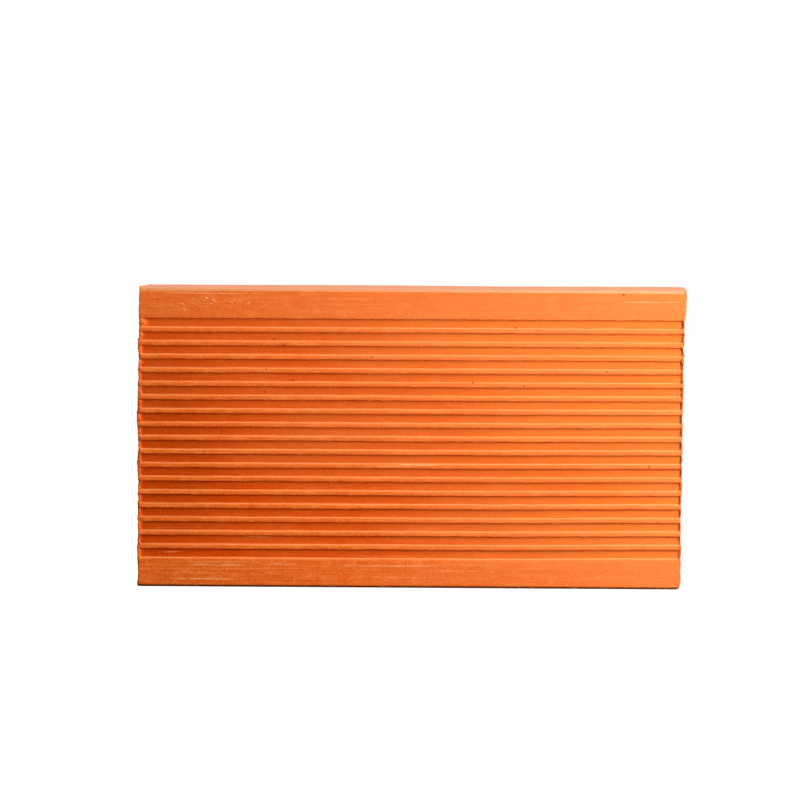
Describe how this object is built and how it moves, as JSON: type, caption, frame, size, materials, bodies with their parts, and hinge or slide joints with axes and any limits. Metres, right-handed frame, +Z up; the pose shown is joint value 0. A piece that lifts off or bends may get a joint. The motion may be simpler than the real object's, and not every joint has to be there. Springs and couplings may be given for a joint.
{
  "type": "hollow clay brick",
  "caption": "Hollow fired-clay brick: level cells run end to end, ribbed faces key the plaster between smooth bands, and the ends are wire-cut.",
  "frame": {"origin": "middle of the lower bed face, on the surface that the brick stands on", "axes": "+X along the length, the cells and the ribs; +Y from the pictured ribbed face to the other one; +Z up from the lower bed face to the upper one"},
  "size_m": [0.33, 0.12, 0.18],
  "materials": {
    "fired_clay": "matte fired clay, orange-red, unglazed"
  },
  "bodies": {
    "root": {"hollow_clay_brick": "fired_clay"}
  },
  "joints": []
}
